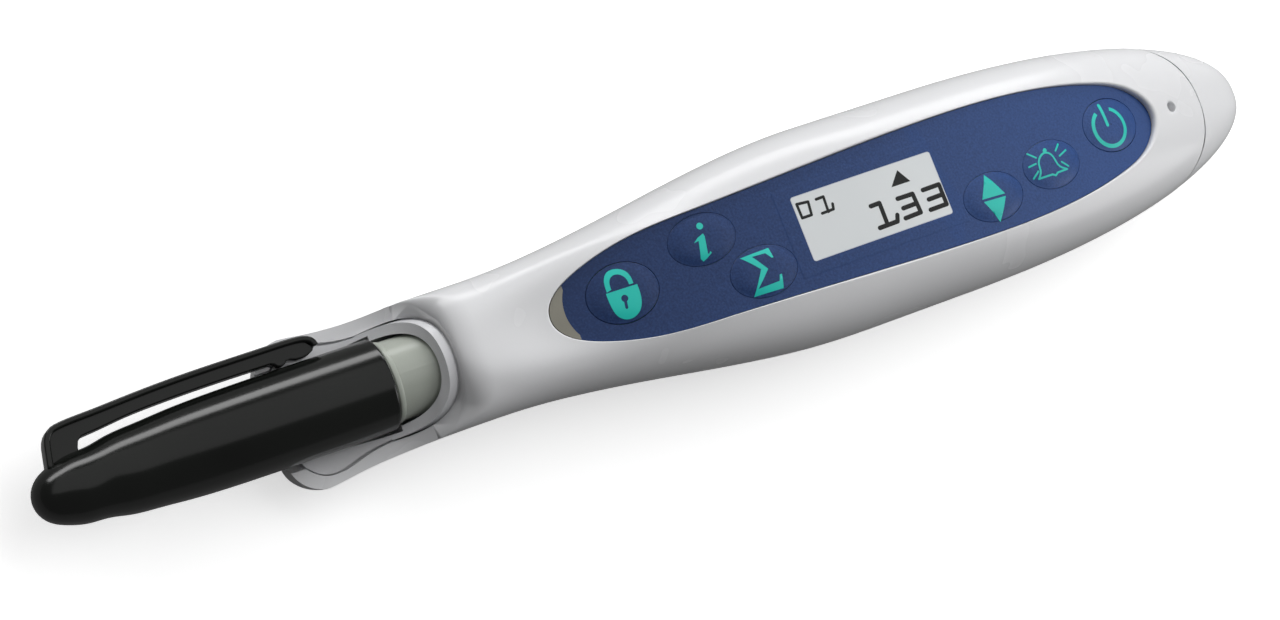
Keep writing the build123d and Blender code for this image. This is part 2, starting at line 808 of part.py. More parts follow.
for name, (x, y, along, across) in keys.items():
    # A domed rubber key: its pad is level with the panel and its stem reaches the switch.
    with BuildPart() as key:
        for scale, rise in ((1, 0), (0.87, 0.3), (0.63, 0.66), (0.3, 0.93), (0.08, 1)):
            with BuildSketch(key_plane(x, y).offset(key_dome * rise)):
                Ellipse(along * scale, across * scale)
        loft()
        with BuildSketch(key_plane(x, y)):
            Ellipse(along, across)
        extrude(amount=-key_pad)
        with BuildSketch(Plane.XY.offset(stem_end_z)):
            with Locations((x, y)):
                Circle(stem_radius)
        extrude(amount=panel_height(x) - key_pad / 2 - stem_end_z)
    key.part.label = name
    export_step(key.part, f"parts/{name}.step")

# ---------------------------------------------------------------- carriage, spring and count switch
with BuildPart() as pen_carriage:
    # Channel under the marker's cap, with the finger spoon on its rim.
    with BuildSketch(Plane.YZ.offset(spoon_back_x)):
        with Locations((0, pen_z)):
            Circle(collar_radius)
    extrude(amount=-20)
    add(carriage_mouth.moved(Location((0, 0, -spoon_thickness))))
    with BuildSketch():
        add(spoon_plan(0))
    extrude(amount=far, mode=Mode.INTERSECT)
    # Collar, sleeve and spigot.
    add(
        pen_tube([
            (spoon_back_x - 1, 0),
            (spoon_back_x - 1, collar_radius),
            (collar_back_x, collar_radius),
            (collar_back_x, sleeve_radius),
            (sleeve_end_x, sleeve_radius),
            (sleeve_end_x, spigot_radius),
            (spigot_end_x, spigot_radius),
            (spigot_end_x, 0),
        ])
    )
    add(
        pen_tube([
            (scoop_front_x - 9, 0),
            (scoop_front_x - 9, trough_radius),
            (trough_back_x, trough_radius),
            (trough_back_x, collar_flare),
            (mouth_x - 2.5, collar_flare),
            (mouth_x + 0.5, sleeve_bore),
            (barrel_end_x + 0.3, sleeve_bore),
            (barrel_end_x + 0.3, 0),
        ]),
        mode=Mode.SUBTRACT,
    )
    add(carriage_mouth, mode=Mode.SUBTRACT)

with BuildPart() as carriage_spring:
    with BuildLine():
        coil = Helix(
            pitch=(bulkhead_x - sleeve_end_x - spring_wire - 0.4) / spring_turns,
            height=bulkhead_x - sleeve_end_x - spring_wire - 0.4,
            radius=spring_radius - spring_wire / 2,
            center=(sleeve_end_x + spring_wire / 2 + 0.2, 0, pen_z),
            direction=(1, 0, 0),
        )
    with BuildSketch(Plane(origin=coil @ 0, z_dir=coil % 0)):
        Circle(spring_wire / 2)
    sweep(path=coil, is_frenet=True)

with BuildPart() as count_switch:
    with BuildSketch(Plane.YZ.offset(switch_x)):
        with Locations((0, pen_z)):
            Rectangle(count_switch_side, count_switch_side)
    extrude(amount=count_switch_depth)
    with BuildSketch(Plane.YZ.offset(switch_x)):
        with Locations((0, pen_z)):
            Circle(plunger_radius + 0.05)
    extrude(amount=count_switch_depth - 0.5, mode=Mode.SUBTRACT)

with BuildPart() as count_plunger:
    with BuildSketch(Plane.YZ.offset(spigot_end_x + 0.15)):
        with Locations((0, pen_z)):
            Circle(plunger_radius)
    extrude(amount=switch_x + 2.0 - spigot_end_x - 0.15)

# ---------------------------------------------------------------- marker
with BuildPart() as marker_barrel:
    with BuildSketch(Plane.XZ):
        with BuildLine():
            Polyline(
                (section_back_x, pen_z + barrel_radius),
                (barrel_end_x - 2.0, pen_z + barrel_radius),
            )
            RadiusArc(
                (barrel_end_x - 2.0, pen_z + barrel_radius),
                (barrel_end_x, pen_z + barrel_radius - 2.0),
                2.0,
            )
            Polyline(
                (barrel_end_x, pen_z + barrel_radius - 2.0),
                (barrel_end_x, pen_z),
                (barrel_end_x - 1.2, pen_z),
                (barrel_end_x - 1.2, pen_z + barrel_radius - barrel_wall),
                (section_back_x, pen_z + barrel_radius - barrel_wall),
                (section_back_x, pen_z + barrel_radius),
            )
        make_face()
    revolve(axis=pen_axis)

ink_reservoir = pen_tube([
    (section_back_x + plug_length + 1.0, 0),
    (section_back_x + plug_length + 1.0, plug_radius - 0.1),
    (barrel_end_x - 8.0, plug_radius - 0.1),
    (barrel_end_x - 8.0, 0),
])

marker_section = pen_tube([
    (nose_x, nib_radius),
    (nose_x, nose_radius),
    (section_front_x, section_radius),
    (section_back_x, section_radius),
    (section_back_x, plug_radius),
    (section_back_x + plug_length, plug_radius),
    (section_back_x + plug_length, nib_radius),
])

marker_nib = pen_tube([
    (nib_x, 0),
    (nib_x, nib_radius * 0.55),
    (nib_x + 1.5, nib_radius),
    (section_back_x + plug_length + 1.0, nib_radius),
    (section_back_x + plug_length + 1.0, 0),
])

with BuildPart() as marker_cap:
    with BuildSketch(Plane.XZ):
        with BuildLine():
            nose = Spline(
                (marker_front_x, pen_z),
                (marker_front_x + 1.0, pen_z + 2.2),
                (marker_front_x + 3.8, pen_z + 3.53),
                (marker_front_x + 7.7, pen_z + 4.8),
                (marker_front_x + 11.7, pen_z + 5.4),
                (marker_front_x + 15.7, pen_z + 5.83),
                (marker_front_x + 19.7, pen_z + 6.2),
                (marker_front_x + 27.7, pen_z + cap_radius - 0.08),
                (marker_front_x + 36, pen_z + cap_radius),
                tangents=[(0, 1), (1, 0)],
                tangent_scalars=(1, 1),
            )
            Polyline(
                nose @ 1,
                (cap_mouth_x, pen_z + cap_radius),
                (cap_mouth_x, pen_z + cap_bore),
                (cap_step_x, pen_z + cap_bore),
                (cap_step_x, pen_z + cap_seal_seat),
                (cap_seal_x, pen_z + cap_seal_seat),
                (cap_seal_x, pen_z),
                nose @ 0,
            )
        make_face()
    revolve(axis=pen_axis)
    # Clip: a flange on a thinner web, with a grip nub near its free end.
    with BuildSketch(Plane.XY.offset(pen_z)):
        with BuildLine():
            back = Spline(
                (marker_front_x + 3.9, 7.47),
                (marker_front_x + 7.7, 8.57),
                (marker_front_x + 11.7, 8.9),
                (marker_front_x + 19.7, 9.4),
                (marker_front_x + 27.7, 9.5),
                (marker_front_x + 39.7, 9.4),
                (marker_front_x + 42.7, 9.1),
                (marker_front_x + 44.2, 8.2),
            )
            Polyline(
                back @ 1,
                (marker_front_x + 43.7, 7.6),
                (marker_front_x + 39.7, 8.1),
                (marker_front_x + 27.7, 8.2),
                (marker_front_x + 15.7, 8.0),
                (marker_front_x + 7.7, 7.2),
                (marker_front_x + 7.4, 4.0),
                (marker_front_x + 3.9, 3.0),
                back @ 0,
            )
        make_face()
    extrude(amount=clip_half_width, both=True)
    with BuildSketch(Plane.XY.offset(pen_z)):
        Polygon(
            (marker_front_x + 7.0, 5.2),
            (marker_front_x + 11.7, 6.1),
            (marker_front_x + 19.7, 6.85),
            (marker_front_x + 23.7, 7.05),
            (marker_front_x + 35.4, 7.05),
            (marker_front_x + 35.7, 6.75),
            (marker_front_x + 37.0, 6.75),
            (marker_front_x + 37.3, 7.1),
            (marker_front_x + 43.0, 7.9),
            (marker_front_x + 39.7, 8.3),
            (marker_front_x + 27.7, 8.4),
            (marker_front_x + 15.7, 8.2),
            (marker_front_x + 7.7, 7.6),
            align=None,
        )
    extrude(amount=clip_web_half_width, both=True)

cap_inner_seal = pen_tube([
    (cap_seal_x, 0),
    (cap_seal_x, cap_seal_seat),
    (nose_x + 0.4, cap_seal_seat),
    (nose_x + 0.4, nose_radius + 0.25),
    (cap_seal_x + 0.8, nose_radius + 0.25),
    (cap_seal_x + 0.8, 0),
])

# ---------------------------------------------------------------- files
for name, solid in {
    "upper_shell": upper_shell.part,
    "lower_shell": lower_shell.part,
    "shell_screws": shell_screws.part,
    "tail_cap": tail_cap.part,
    "coin_cell": coin_cell.part,
    "battery_contact_top": battery_contact_top.part,
    "battery_contact_bottom": battery_contact_bottom.part,
    "circuit_board": circuit_board.part,
    "board_screws": board_screws.part,
    "tact_switches": tact_switches.part,
    "lcd_holder": lcd_holder.part,
    "lcd_glass": lcd_glass.part,
    "lcd_window": lcd_window.part,
    "display_overlay": display_overlay.part,
    "indicator_lens": indicator_lens.part,
    "indicator_led": indicator_led.part,
    "beeper": beeper.part,
    "pen_carriage": pen_carriage.part,
    "carriage_spring": carriage_spring.part,
    "count_switch": count_switch.part,
    "count_plunger": count_plunger.part,
    "marker_barrel": marker_barrel.part,
    "ink_reservoir": ink_reservoir,
    "marker_section": marker_section,
    "marker_nib": marker_nib,
    "marker_cap": marker_cap.part,
    "cap_inner_seal": cap_inner_seal,
}.items():
    solid.label = name
    export_step(solid, f"parts/{name}.step")
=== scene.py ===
"""Pen-style colony counter on a pale table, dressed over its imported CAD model."""

import math

import bmesh
import bpy
import numpy as np
from mathutils import Matrix, Vector
from mathutils.geometry import delaunay_2d_cdt


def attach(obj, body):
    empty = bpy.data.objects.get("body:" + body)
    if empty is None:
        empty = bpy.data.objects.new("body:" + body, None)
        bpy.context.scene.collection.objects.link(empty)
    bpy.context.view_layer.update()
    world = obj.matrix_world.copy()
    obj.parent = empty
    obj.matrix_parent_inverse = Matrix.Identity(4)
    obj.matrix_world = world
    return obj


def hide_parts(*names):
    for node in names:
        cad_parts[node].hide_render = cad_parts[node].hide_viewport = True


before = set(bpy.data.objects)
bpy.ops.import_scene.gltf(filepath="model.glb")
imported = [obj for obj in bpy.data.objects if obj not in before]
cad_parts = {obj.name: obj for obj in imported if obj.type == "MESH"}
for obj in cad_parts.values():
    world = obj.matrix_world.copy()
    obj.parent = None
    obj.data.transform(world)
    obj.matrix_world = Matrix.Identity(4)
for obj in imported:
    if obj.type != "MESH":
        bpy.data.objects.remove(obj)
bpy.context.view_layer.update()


# The viewpoint. A long lens, above the marker's end of the counter and a little to one side.
focal_pixels, frame_pixels, sensor_width = 2500, 1280, 36.0
camera_place = (-0.1702, -0.0326, 0.3384)
roll = math.radians(0.25)
camera = bpy.data.objects.new("camera", bpy.data.cameras.new("camera"))
camera.data.sensor_width = sensor_width
camera.data.lens = focal_pixels / frame_pixels * sensor_width
camera.data.clip_start = 0.01
# Right and up in the frame, slanted between a direction along the handle and one across it.
along = Vector((0.9205, -0.0361, 0.3891))
across = Vector((0.0, 0.9957, 0.0924))
level_share, slant_share = 0.946, 0.323
right = (level_share * along - slant_share * across).normalized()
up = (slant_share * along + level_share * across).normalized()
back = right.cross(up).normalized()
up = back.cross(right)
pivot = Vector((0.0, 0.0, 0.022))
turned = Matrix.Translation(pivot) @ Matrix.Rotation(-roll, 4, back) @ Matrix.Translation(-pivot)
facing = Matrix((right, up, back)).transposed().to_4x4()
camera.matrix_world = turned @ Matrix.Translation(camera_place) @ facing
bpy.context.scene.collection.objects.link(camera)
bpy.context.scene.camera = camera
bpy.context.scene.view_settings.view_transform = "Standard"


# The lower shell. The other half of the glossy white ABS handle, with the scoop under the marker,
# the screw posts, the rails of the battery drawer and the flat face that it rests on.
class Socket:
    """A shader socket with the operators that the finishes use."""

    def __init__(self, tree, socket=None):
        self.tree = tree
        self.socket = socket

    def node(self, kind, settings=None, output=0, **inputs):
        """Adds a node: its settings first, then its inputs by name, and returns an output."""
        made = self.tree.nodes.new(kind)
        for key, value in (settings or {}).items():
            if key == "stops":
                for stop, (place, colour) in zip(made.color_ramp.elements, value):
                    stop.position = place
                    stop.color = colour
            else:
                setattr(made, key, value)
        for key, value in inputs.items():
            target = made.inputs[int(key[1:]) if key[0] == "_" else key.replace("_", " ")]
            if isinstance(value, Socket):
                self.tree.links.new(value.socket, target)
            else:
                target.default_value = value
        return Socket(self.tree, made.outputs[output])

    def maths(self, operation, first, second=0.0):
        """Adds a Math node."""
        return self.node("ShaderNodeMath", {"operation": operation}, _0=first, _1=second)

    def __add__(self, other):
        return self.maths("ADD", self, other)

    def __sub__(self, other):
        return self.maths("SUBTRACT", self, other)

    def __rsub__(self, other):
        return self.maths("SUBTRACT", other, self)

    def __mul__(self, other):
        return self.maths("MULTIPLY", self, other)

    def __truediv__(self, other):
        return self.maths("DIVIDE", self, other)

    def __abs__(self):
        return self.maths("ABSOLUTE", self)

    __radd__ = __add__
    __rmul__ = __mul__


def finish(name, paint):
    """A material whose Principled shader is set up by paint, which returns its varying inputs."""
    made = bpy.data.materials.new(name)
    made.use_nodes = True
    shader = made.node_tree.nodes["Principled BSDF"]
    for socket, value in paint(Socket(made.node_tree), shader).items():
        made.node_tree.links.new(value.socket, shader.inputs[socket])
    return made


def moulded(name, colour, roughness=0.3, coat=0.0, grain=0.05, grain_scale=2600.0, mottle=0.03):
    """Injection-moulded plastic: faint clouds of colour and gloss over a fine tool grain."""

    def paint(start, shader):
        place = start.node("ShaderNodeTexCoord", output="Object")
        cloud = start.node("ShaderNodeTexNoise", Vector=place, Scale=70.0, Detail=2.0)
        fine = start.node("ShaderNodeTexNoise", Vector=place, Scale=grain_scale, Detail=3.0)
        shader.inputs["Coat Weight"].default_value = coat
        shader.inputs["Coat Roughness"].default_value = 0.06
        stops = [
            (0.3, (*[tone * (1 - mottle) for tone in colour], 1)),
            (0.7, (*[min(1.0, tone * (1 + mottle)) for tone in colour], 1)),
        ]
        return {
            "Base Color": start.node("ShaderNodeValToRGB", {"stops": stops}, Fac=cloud),
            "Roughness": roughness + (cloud - 0.5) * 0.04,
            "Normal": start.node("ShaderNodeBump", Height=fine, Strength=grain, Distance=0.0001),
        }

    return finish(name, paint)


def dress(node, material):
    """Gives a CAD node its finish."""
    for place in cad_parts[node].material_slots:
        place.material = material


shell_white = moulded("shell_white", (0.80, 0.805, 0.82), roughness=0.27, coat=0.08, mottle=0.006)
dress("lower_shell", shell_white)


# The screws. Plated steel self-tapping screws with a cross recess: four hold the shells together
# from below, and three smaller ones hold the board up against the upper shell.
def metal(name, colour, roughness, drawn):
    """Plain metal, with fine lines left by the rolling or drawing of the stock."""

    def paint(start, shader):
        place = start.node("ShaderNodeTexCoord", output="Object")
        stretch = start.node(
            "ShaderNodeVectorMath", {"operation": "MULTIPLY"}, _0=place, _1=(drawn, 3000.0, 3000.0)
        )
        lines = start.node("ShaderNodeTexNoise", Vector=stretch, Scale=1.0, Detail=4.0)
        shader.inputs["Metallic"].default_value = 1.0
        stops = [(0.3, (*[tone * 0.8 for tone in colour], 1)), (0.7, (*colour, 1))]
        return {
            "Base Color": start.node("ShaderNodeValToRGB", {"stops": stops}, Fac=lines),
            "Roughness": roughness + (lines - 0.5) * 0.2,
            "Normal": start.node("ShaderNodeBump", Height=lines, Strength=0.15, Distance=0.00005),
        }

    return finish(name, paint)


screw_steel = metal("screw_steel", (0.58, 0.58, 0.6), 0.32, 900.0)
dress("shell_screws", screw_steel)
dress("board_screws", screw_steel)

# The count switch. Behind the bulkhead, in the marker's line: a black body, its red plunger, and
# the drawn steel spring that pushes the carriage forward.
switch_black = moulded("switch_black", (0.03, 0.03, 0.032), roughness=0.5, grain=0.1)
dress("count_switch", switch_black)
dress("count_plunger", moulded("plunger_red", (0.45, 0.04, 0.035), roughness=0.45))
dress("carriage_spring", metal("spring_steel", (0.62, 0.62, 0.64), 0.25, 2000.0))

# The battery drawer. A white ABS cap that closes the tail, with the tray for the coin cell, and
# the cell's two plated brass contacts.
dress("tail_cap", shell_white)
dress("coin_cell", metal("cell_steel", (0.68, 0.68, 0.69), 0.2, 200.0))
contact_brass = metal("contact_brass", (0.76, 0.62, 0.32), 0.28, 400.0)
dress("battery_contact_top", contact_brass)
dress("battery_contact_bottom", contact_brass)

# The circuit board and what is soldered to it: green solder-masked laminate, six tactile
# switches, the lamp behind the lens, and a brass piezo disc as the beeper.
def solder_mask(start, shader):
    """Green lacquer over paler tracks and a fine glass weave."""
    place = start.node("ShaderNodeTexCoord", output="Object")
    tracks = start.node(
        "ShaderNodeTexBrick",
        {"offset": 0.35},
        Vector=place,
        Scale=260.0,
        Color1=(0.012, 0.13, 0.05, 1),
        Color2=(0.015, 0.16, 0.06, 1),
        Mortar=(0.04, 0.26, 0.11, 1),
        Mortar_Size=0.05,
    )
    weave = start.node("ShaderNodeTexNoise", Vector=place, Scale=1500.0, Detail=2.0)
    shader.inputs["Roughness"].default_value = 0.3
    return {
        "Base Color": tracks,
        "Normal": start.node("ShaderNodeBump", Height=weave, Strength=0.1, Distance=0.0001),
    }


dress("circuit_board", finish("board_green", solder_mask))
dress("tact_switches", switch_black)
dress("indicator_led", moulded("led_clear", (0.8, 0.8, 0.72), roughness=0.15, coat=0.5))
dress("beeper", contact_brass)


# The upper shell. Glossy white ABS, moulded in one piece and held down by four screws from below.
# Its top is sunk for the panel and its front end is cut to a slanted arch, whose edge is rolled
# over. A small hole at the tail lets the beeper's sound out.
parting_height, marker_height = 11.2, 9.4
widest_x, widest_half, tail_length, tail_power = 20.0, 15.86, 59.1, 2.3
neck_half, swell_front, swell_length = 9.75, -56, 57
foot_spread, foot_rear, foot_length = 1.4, -66, 13
crown_x, crown_height, crown_length, crown_power, crown_root = 16.0, 24.6, 63.1, 1.8, 0.65
neck_height, rise_front, rise_length = 18.9, -62, 62
panel_top, panel_front_arc, panel_rear_arc = 22.5, 420.0, 240.0
panel_rear, panel_front, panel_half = 57.2, -46.7, 9.6
side_power = 0.8
mm = 0.001


def ease(t):
    """A smooth step from 0 to 1."""
    t = np.clip(t, 0, 1)
    return t * t * (3 - 2 * t)


def half_width(x):
    """Half of the handle's width at the parting plane."""
    tail = np.clip(x - widest_x, 0, None) / tail_length
    rear = widest_half * np.sqrt(np.clip(1 - tail**tail_power, 0, 1))
    swell = (widest_half - neck_half) * ease((x - swell_front) / swell_length)
    foot = foot_spread * ease((foot_rear - x) / foot_length)
    return np.where(x > widest_x, rear, neck_half + swell + foot)


def crown(x):
    """Height of the skin's ridge line, most of which the panel's recess takes away."""
    tail = np.clip(x - crown_x, 0, None) / crown_length
    fall = np.clip(1 - tail**crown_power, 0, 1) ** crown_root
    rear = parting_height + (crown_height - parting_height) * fall
    front = neck_height + (crown_height - neck_height) * ease((x - rise_front) / rise_length)
    return np.where(x > crown_x, rear, front)


def panel_height(x):
    """Height of the panel's face: two long arcs that meet at its highest point."""
    radius = np.where(x < crown_x, panel_front_arc, panel_rear_arc)
    return panel_top - radius + np.sqrt(radius**2 - (x - crown_x) ** 2)


def curve_through(points, count, ends=None):
    """Points along a smooth curve through the given ones, with end directions if given."""
    points = np.array(points, float)
    gaps = np.linalg.norm(np.diff(points, axis=0), axis=1)
    knots = np.concatenate(([0], np.cumsum(gaps)))
    size = len(points)
    system = np.zeros((size, size))
    wanted = np.zeros_like(points)
    for i in range(1, size - 1):
        before, after = gaps[i - 1], gaps[i]
        system[i, i - 1 : i + 2] = after, 2 * (before + after), before
        onward = (points[i + 1] - points[i]) * before / after
        wanted[i] = 3 * (onward + (points[i] - points[i - 1]) * after / before)
    if ends is None:
        system[0, :2] = 2, 1
        wanted[0] = 3 * (points[1] - points[0]) / gaps[0]
        system[-1, -2:] = 1, 2
        wanted[-1] = 3 * (points[-1] - points[-2]) / gaps[-1]
    else:
        system[0, 0] = system[-1, -1] = 1
        wanted[0], wanted[-1] = ends
    slopes = np.linalg.solve(system, wanted)
    at = np.linspace(0, knots[-1], count)
    span = np.clip(np.searchsorted(knots, at) - 1, 0, size - 2)
    u = ((at - knots[span]) / gaps[span])[:, None]
    width = gaps[span][:, None]
    return (
        points[span] * (1 + 2 * u) * (1 - u) ** 2
        + slopes[span] * width * u * (1 - u) ** 2
        + points[span + 1] * u * u * (3 - 2 * u)
        - slopes[span + 1] * width * u * u * (1 - u)
    )


def panel_edge(count):
    """Half of the panel's outline, from its tail end along the clip's side to its front end."""
    rear, front = panel_rear - crown_x, panel_front - crown_x
    return curve_through(
        [
            (panel_rear, 0),
            (crown_x + rear * 0.93, panel_half * 0.47),
            (crown_x + rear * 0.78, panel_half * 0.74),
            (crown_x, panel_half),
            (crown_x + front * 0.61, panel_half * 0.835),
            (crown_x + front * 0.89, panel_half * 0.585),
            (panel_front, 0),
        ],
        count,
        ((0, 1), (0, -1)),
    )


arch = curve_through(
    [(-61, 20.9), (-61.4, 17.15), (-64.6, 12.3), (-68.6, 9.0), (-75, 6.9), (-91, 5.2)], 400
)[::-1]


def arch_x(z):
    """Where the arch's edge lies along the handle, at a height."""
    return np.interp(z, arch[:, 1], arch[:, 0])


def top_skin(x, turn):
    """A point of the upper shell's skin: x along the handle, turn round it from the clip's side."""
    y = half_width(x) * np.sign(np.cos(turn)) * np.abs(np.cos(turn)) ** side_power
    z = parting_height + (crown(x) - parting_height) * np.abs(np.sin(turn)) ** side_power
    return np.stack([x, y, z], -1)


def sheet_mesh(name, rows):
    """A mesh of quads from closed rows of points in millimetres."""
    rows = np.array(rows)
    count = rows.shape[1]
    faces = []
    for here in range(0, (len(rows) - 1) * count, count):
        for c in range(count):
            after = (c + 1) % count
            faces.append((here + c, here + after, here + count + after, here + count + c))
    mesh = bpy.data.meshes.new(name)
    mesh.from_pydata((rows.reshape(-1, 3) * mm).tolist(), [], faces)
    mesh.polygons.foreach_set("use_smooth", [True] * len(faces))
    return mesh


def piece(name, mesh, material, body):
    """Puts a mesh in the scene as a piece that rides on a body."""
    made = bpy.data.objects.new(name, mesh)
    bpy.context.scene.collection.objects.link(made)
    mesh.materials.append(material)
    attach(made, body)
    return made


# Half of the skin is a grid from the panel's outline to the shell's edge, which runs round the
# tail's seam, along the parting plane and over the arch. It is then mirrored across the handle.
# Where the edge lies at the tail and at the arch is settled by repeated steps.
rear_count, side_count, front_count = 44, 110, 56
rear_share, side_share = 0.16, 0.86
seam_centre, seam_radius, seam_half, seam_side = 54.75, 13.25, 11.68, 61.0
side_front = -65.66
edge = panel_edge(4001)
edge_length = np.concatenate(([0], np.cumsum(np.linalg.norm(np.diff(edge, axis=0), axis=1))))
share = np.concatenate(
    [
        np.linspace(0, rear_share, rear_count, endpoint=False),
        np.linspace(rear_share, side_share, side_count, endpoint=False),
        np.linspace(side_share, 1, front_count + 1),
    ]
)
inner_x = np.interp(share * edge_length[-1], edge_length, edge[:, 0])
inner_y = np.interp(share * edge_length[-1], edge_length, edge[:, 1])
inner_side = np.clip(np.clip(inner_y, 0, None) / half_width(inner_x), 0, 1)
inner_turn = np.arccos(inner_side ** (1 / side_power))
quarter = math.pi / 2
rear_turn = np.linspace(quarter, 0, rear_count, endpoint=False)
rear_x = np.full(rear_count, 66.0)
for step in range(40):
    rear_y = top_skin(rear_x, rear_turn)[:, 1]
    seam_x = seam_centre + np.sqrt(np.clip(seam_radius**2 - rear_y**2, 0, None))
    rear_x = np.where(rear_y < seam_half, seam_x, seam_side)
side_x = seam_side + (side_front - seam_side) * np.linspace(0, 1, side_count, endpoint=False)
front_turn = np.linspace(0, quarter, front_count + 1)
front_x = np.full(front_count + 1, -62.0)
for step in range(60):
    front_x = 0.5 * front_x + 0.5 * arch_x(top_skin(front_x, front_turn)[:, 2])
outer_x = np.concatenate([rear_x, side_x, front_x])
outer_turn = np.concatenate([rear_turn, np.zeros(side_count), front_turn])
inner_x, outer_x = (np.concatenate([v, v[-2:0:-1]]) for v in (inner_x, outer_x))
inner_turn, outer_turn = (
    np.concatenate([v, math.pi - v[-2:0:-1]]) for v in (inner_turn, outer_turn)
)


def bare_row(t):
    """The skin at a share of the way from the panel to its edge, before it is sunk."""
    return top_skin(inner_x + (outer_x - inner_x) * t, inner_turn + (outer_turn - inner_turn) * t)


skin_width = np.linalg.norm(bare_row(1.0) - bare_row(0.0), axis=1)
recess_depth, sink_reach, sink_rear, sink_fade = 0.5, 14.0, 25, 30
sink = np.clip(bare_row(0.0)[:, 2] - panel_height(inner_x) - recess_depth, 0, None)
sink = sink * ease((sink_rear - inner_x) / sink_fade)


def top_row(t):
    """The skin at a share of the way from the panel to its edge, sunk a little round the panel."""
    level = bare_row(t)
    level[:, 2] -= sink * (1 - ease(skin_width * t / np.minimum(sink_reach, skin_width * 0.98)))
    return level


# The lip round the panel, the plain rim along the parting plane and the tail, and the broad roll
# over the arch, which ends at the bore.
recess_wall, plain_rim, roll_fade = 0.45, 0.14, 24
lip_share, lip_least, lip_most = 0.75, 0.2, 0.8
mouth_radius, mouth_land, rolled_length = 7.95, 0.1, 3.8
first_wall, full_wall, bore_end = 1.2, 1.5, -55
bore_least_turn = 0.2285
depth = top_row(0.0)[:, 2] - panel_height(inner_x)
lip = np.clip(depth * lip_share, lip_least, lip_most)
from_front = np.abs(np.arange(len(inner_x)) - len(inner_x) // 2)
is_front = from_front <= front_count
at_arch = ease((front_count - from_front) / roll_fade)
towards_axis = top_row(1.0) * [0, 1, 1] - [0, 0, marker_height]
reach = np.linalg.norm(towards_axis, axis=1)
towards_axis /= reach[:, None]
rim = plain_rim + (rolled_length - plain_rim) * at_arch
rim_drop = plain_rim + (reach - mouth_radius - mouth_land - plain_rim) * at_arch
rows = []
for drop in (recess_wall, 0.0):
    level = top_row(0.0)
    level[:, 2] = panel_height(inner_x) - drop
    rows.append(level)
for part in (0.0, 0.08, 0.22, 0.4, 0.65, 1.0):
    level = top_row(lip * part / skin_width)
    level[:, 2] -= lip * (1 - np.sqrt(1 - (1 - part) ** 2))
    rows.append(level)
start_t, end_t = lip / skin_width, 1 - rim / skin_width
for t in (1 - np.cos(np.linspace(0, math.pi, 40)[1:-1])) / 2:
    rows.append(top_row(start_t + (end_t - start_t) * t))
rows.append(top_row(end_t))
for angle in np.linspace(0, quarter, 15)[1:]:
    level = top_row(1 - rim * (1 - math.sin(angle)) / skin_width)
    rows.append(level - towards_axis * (rim_drop * (1 - math.cos(angle)))[:, None])
mouth_row = rows[-1]
bore_turn = np.clip(outer_turn, bore_least_turn, math.pi - bore_least_turn)
bore_height = marker_height + mouth_radius * np.sin(bore_turn)
bore = np.stack([arch_x(bore_height), mouth_radius * np.cos(bore_turn), bore_height], -1)
first_row, deeper_row = (mouth_row - towards_axis * wall for wall in (first_wall, full_wall))
first_row[is_front] = bore[is_front]
bore[:, 0] = bore_end
deeper_row[is_front] = bore[is_front]
rows += [first_row, deeper_row]
skin_mesh = sheet_mesh("upper_shell_skin", rows)
upper_shell = piece("upper_shell_skin", skin_mesh, shell_white, "housing")
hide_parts("upper_shell")

# The beeper's hole, moulded with a small round lip, is let into the skin's grid.
hole_x, hole_radius, hole_lip, hole_depth = 61.4, 0.85, 0.12, 1.5
cleared_radius, joined_radius = 1.5, 3.5


def skin_level(x, y):
    """Height of the upper shell's skin."""
    turn = np.arccos(np.clip(np.abs(y) / half_width(x), 0, 1) ** (1 / side_power))
    return top_skin(x, turn)[..., 2]


def from_hole(place):
    """How far a place of the mesh lies from the hole's middle, in millimetres."""
    return (place.xy / mm - Vector((hole_x, 0))).length


skin = bmesh.new()
skin.from_mesh(upper_shell.data)
gone = [
    face
    for face in skin.faces
    if face.calc_center_median().z > parting_height * mm
    and from_hole(face.calc_center_median()) < cleared_radius
]
bmesh.ops.delete(skin, geom=gone, context="FACES")
ends = [
    side
    for side in skin.edges
    if side.is_boundary and from_hole(side.verts[0].co) < joined_radius
]
rim_vertices = sorted(
    {vertex for side in ends for vertex in side.verts},
    key=lambda vertex: math.atan2(vertex.co.y, vertex.co.x - hole_x * mm),
)
before = rim_vertices
for radius, drop in (
    (hole_radius + hole_lip, 0.0),
    (hole_radius + hole_lip * 0.3, hole_lip * 0.3),
    (hole_radius, hole_lip),
    (hole_radius, hole_depth),
    (0.05, hole_depth),
):
    ring = []
    for vertex in rim_vertices:
        angle = math.atan2(vertex.co.y, vertex.co.x - hole_x * mm)
        x, y = hole_x + radius * math.cos(angle), radius * math.sin(angle)
        ring.append(skin.verts.new(Vector((x, y, float(skin_level(x, y)) - drop)) * mm))
    for i in range(len(ring)):
        after = (i + 1) % len(ring)
        face = skin.faces.new((before[i], before[after], ring[after], ring[i]))
        face.smooth = True
    before = ring
bmesh.ops.recalc_face_normals(skin, faces=skin.faces)
skin.to_mesh(upper_shell.data)
skin.free()


# The display. Liquid crystal behind glass, held in a black frame on the board, under a window that
# lies level with the panel. Its dark segments read a plate's number and a count, and flat prints
# mark off the window's clear part, with a pale line round it that is painted highlight for the
# light on the window's bevelled edge.
def reflector(start, shader):
    """The pale grey reflector behind the liquid crystal, under gloss."""
    place = start.node("ShaderNodeTexCoord", output="Object")
    cloud = start.node("ShaderNodeTexNoise", Vector=place, Scale=45.0, Detail=2.0)
    shader.inputs["Coat Weight"].default_value = 0.5
    stops = [(0.35, (0.72, 0.755, 0.77, 1)), (0.65, (0.77, 0.80, 0.81, 1))]
    return {
        "Base Color": start.node("ShaderNodeValToRGB", {"stops": stops}, Fac=cloud),
        "Roughness": 0.3 + cloud * 0.1,
    }


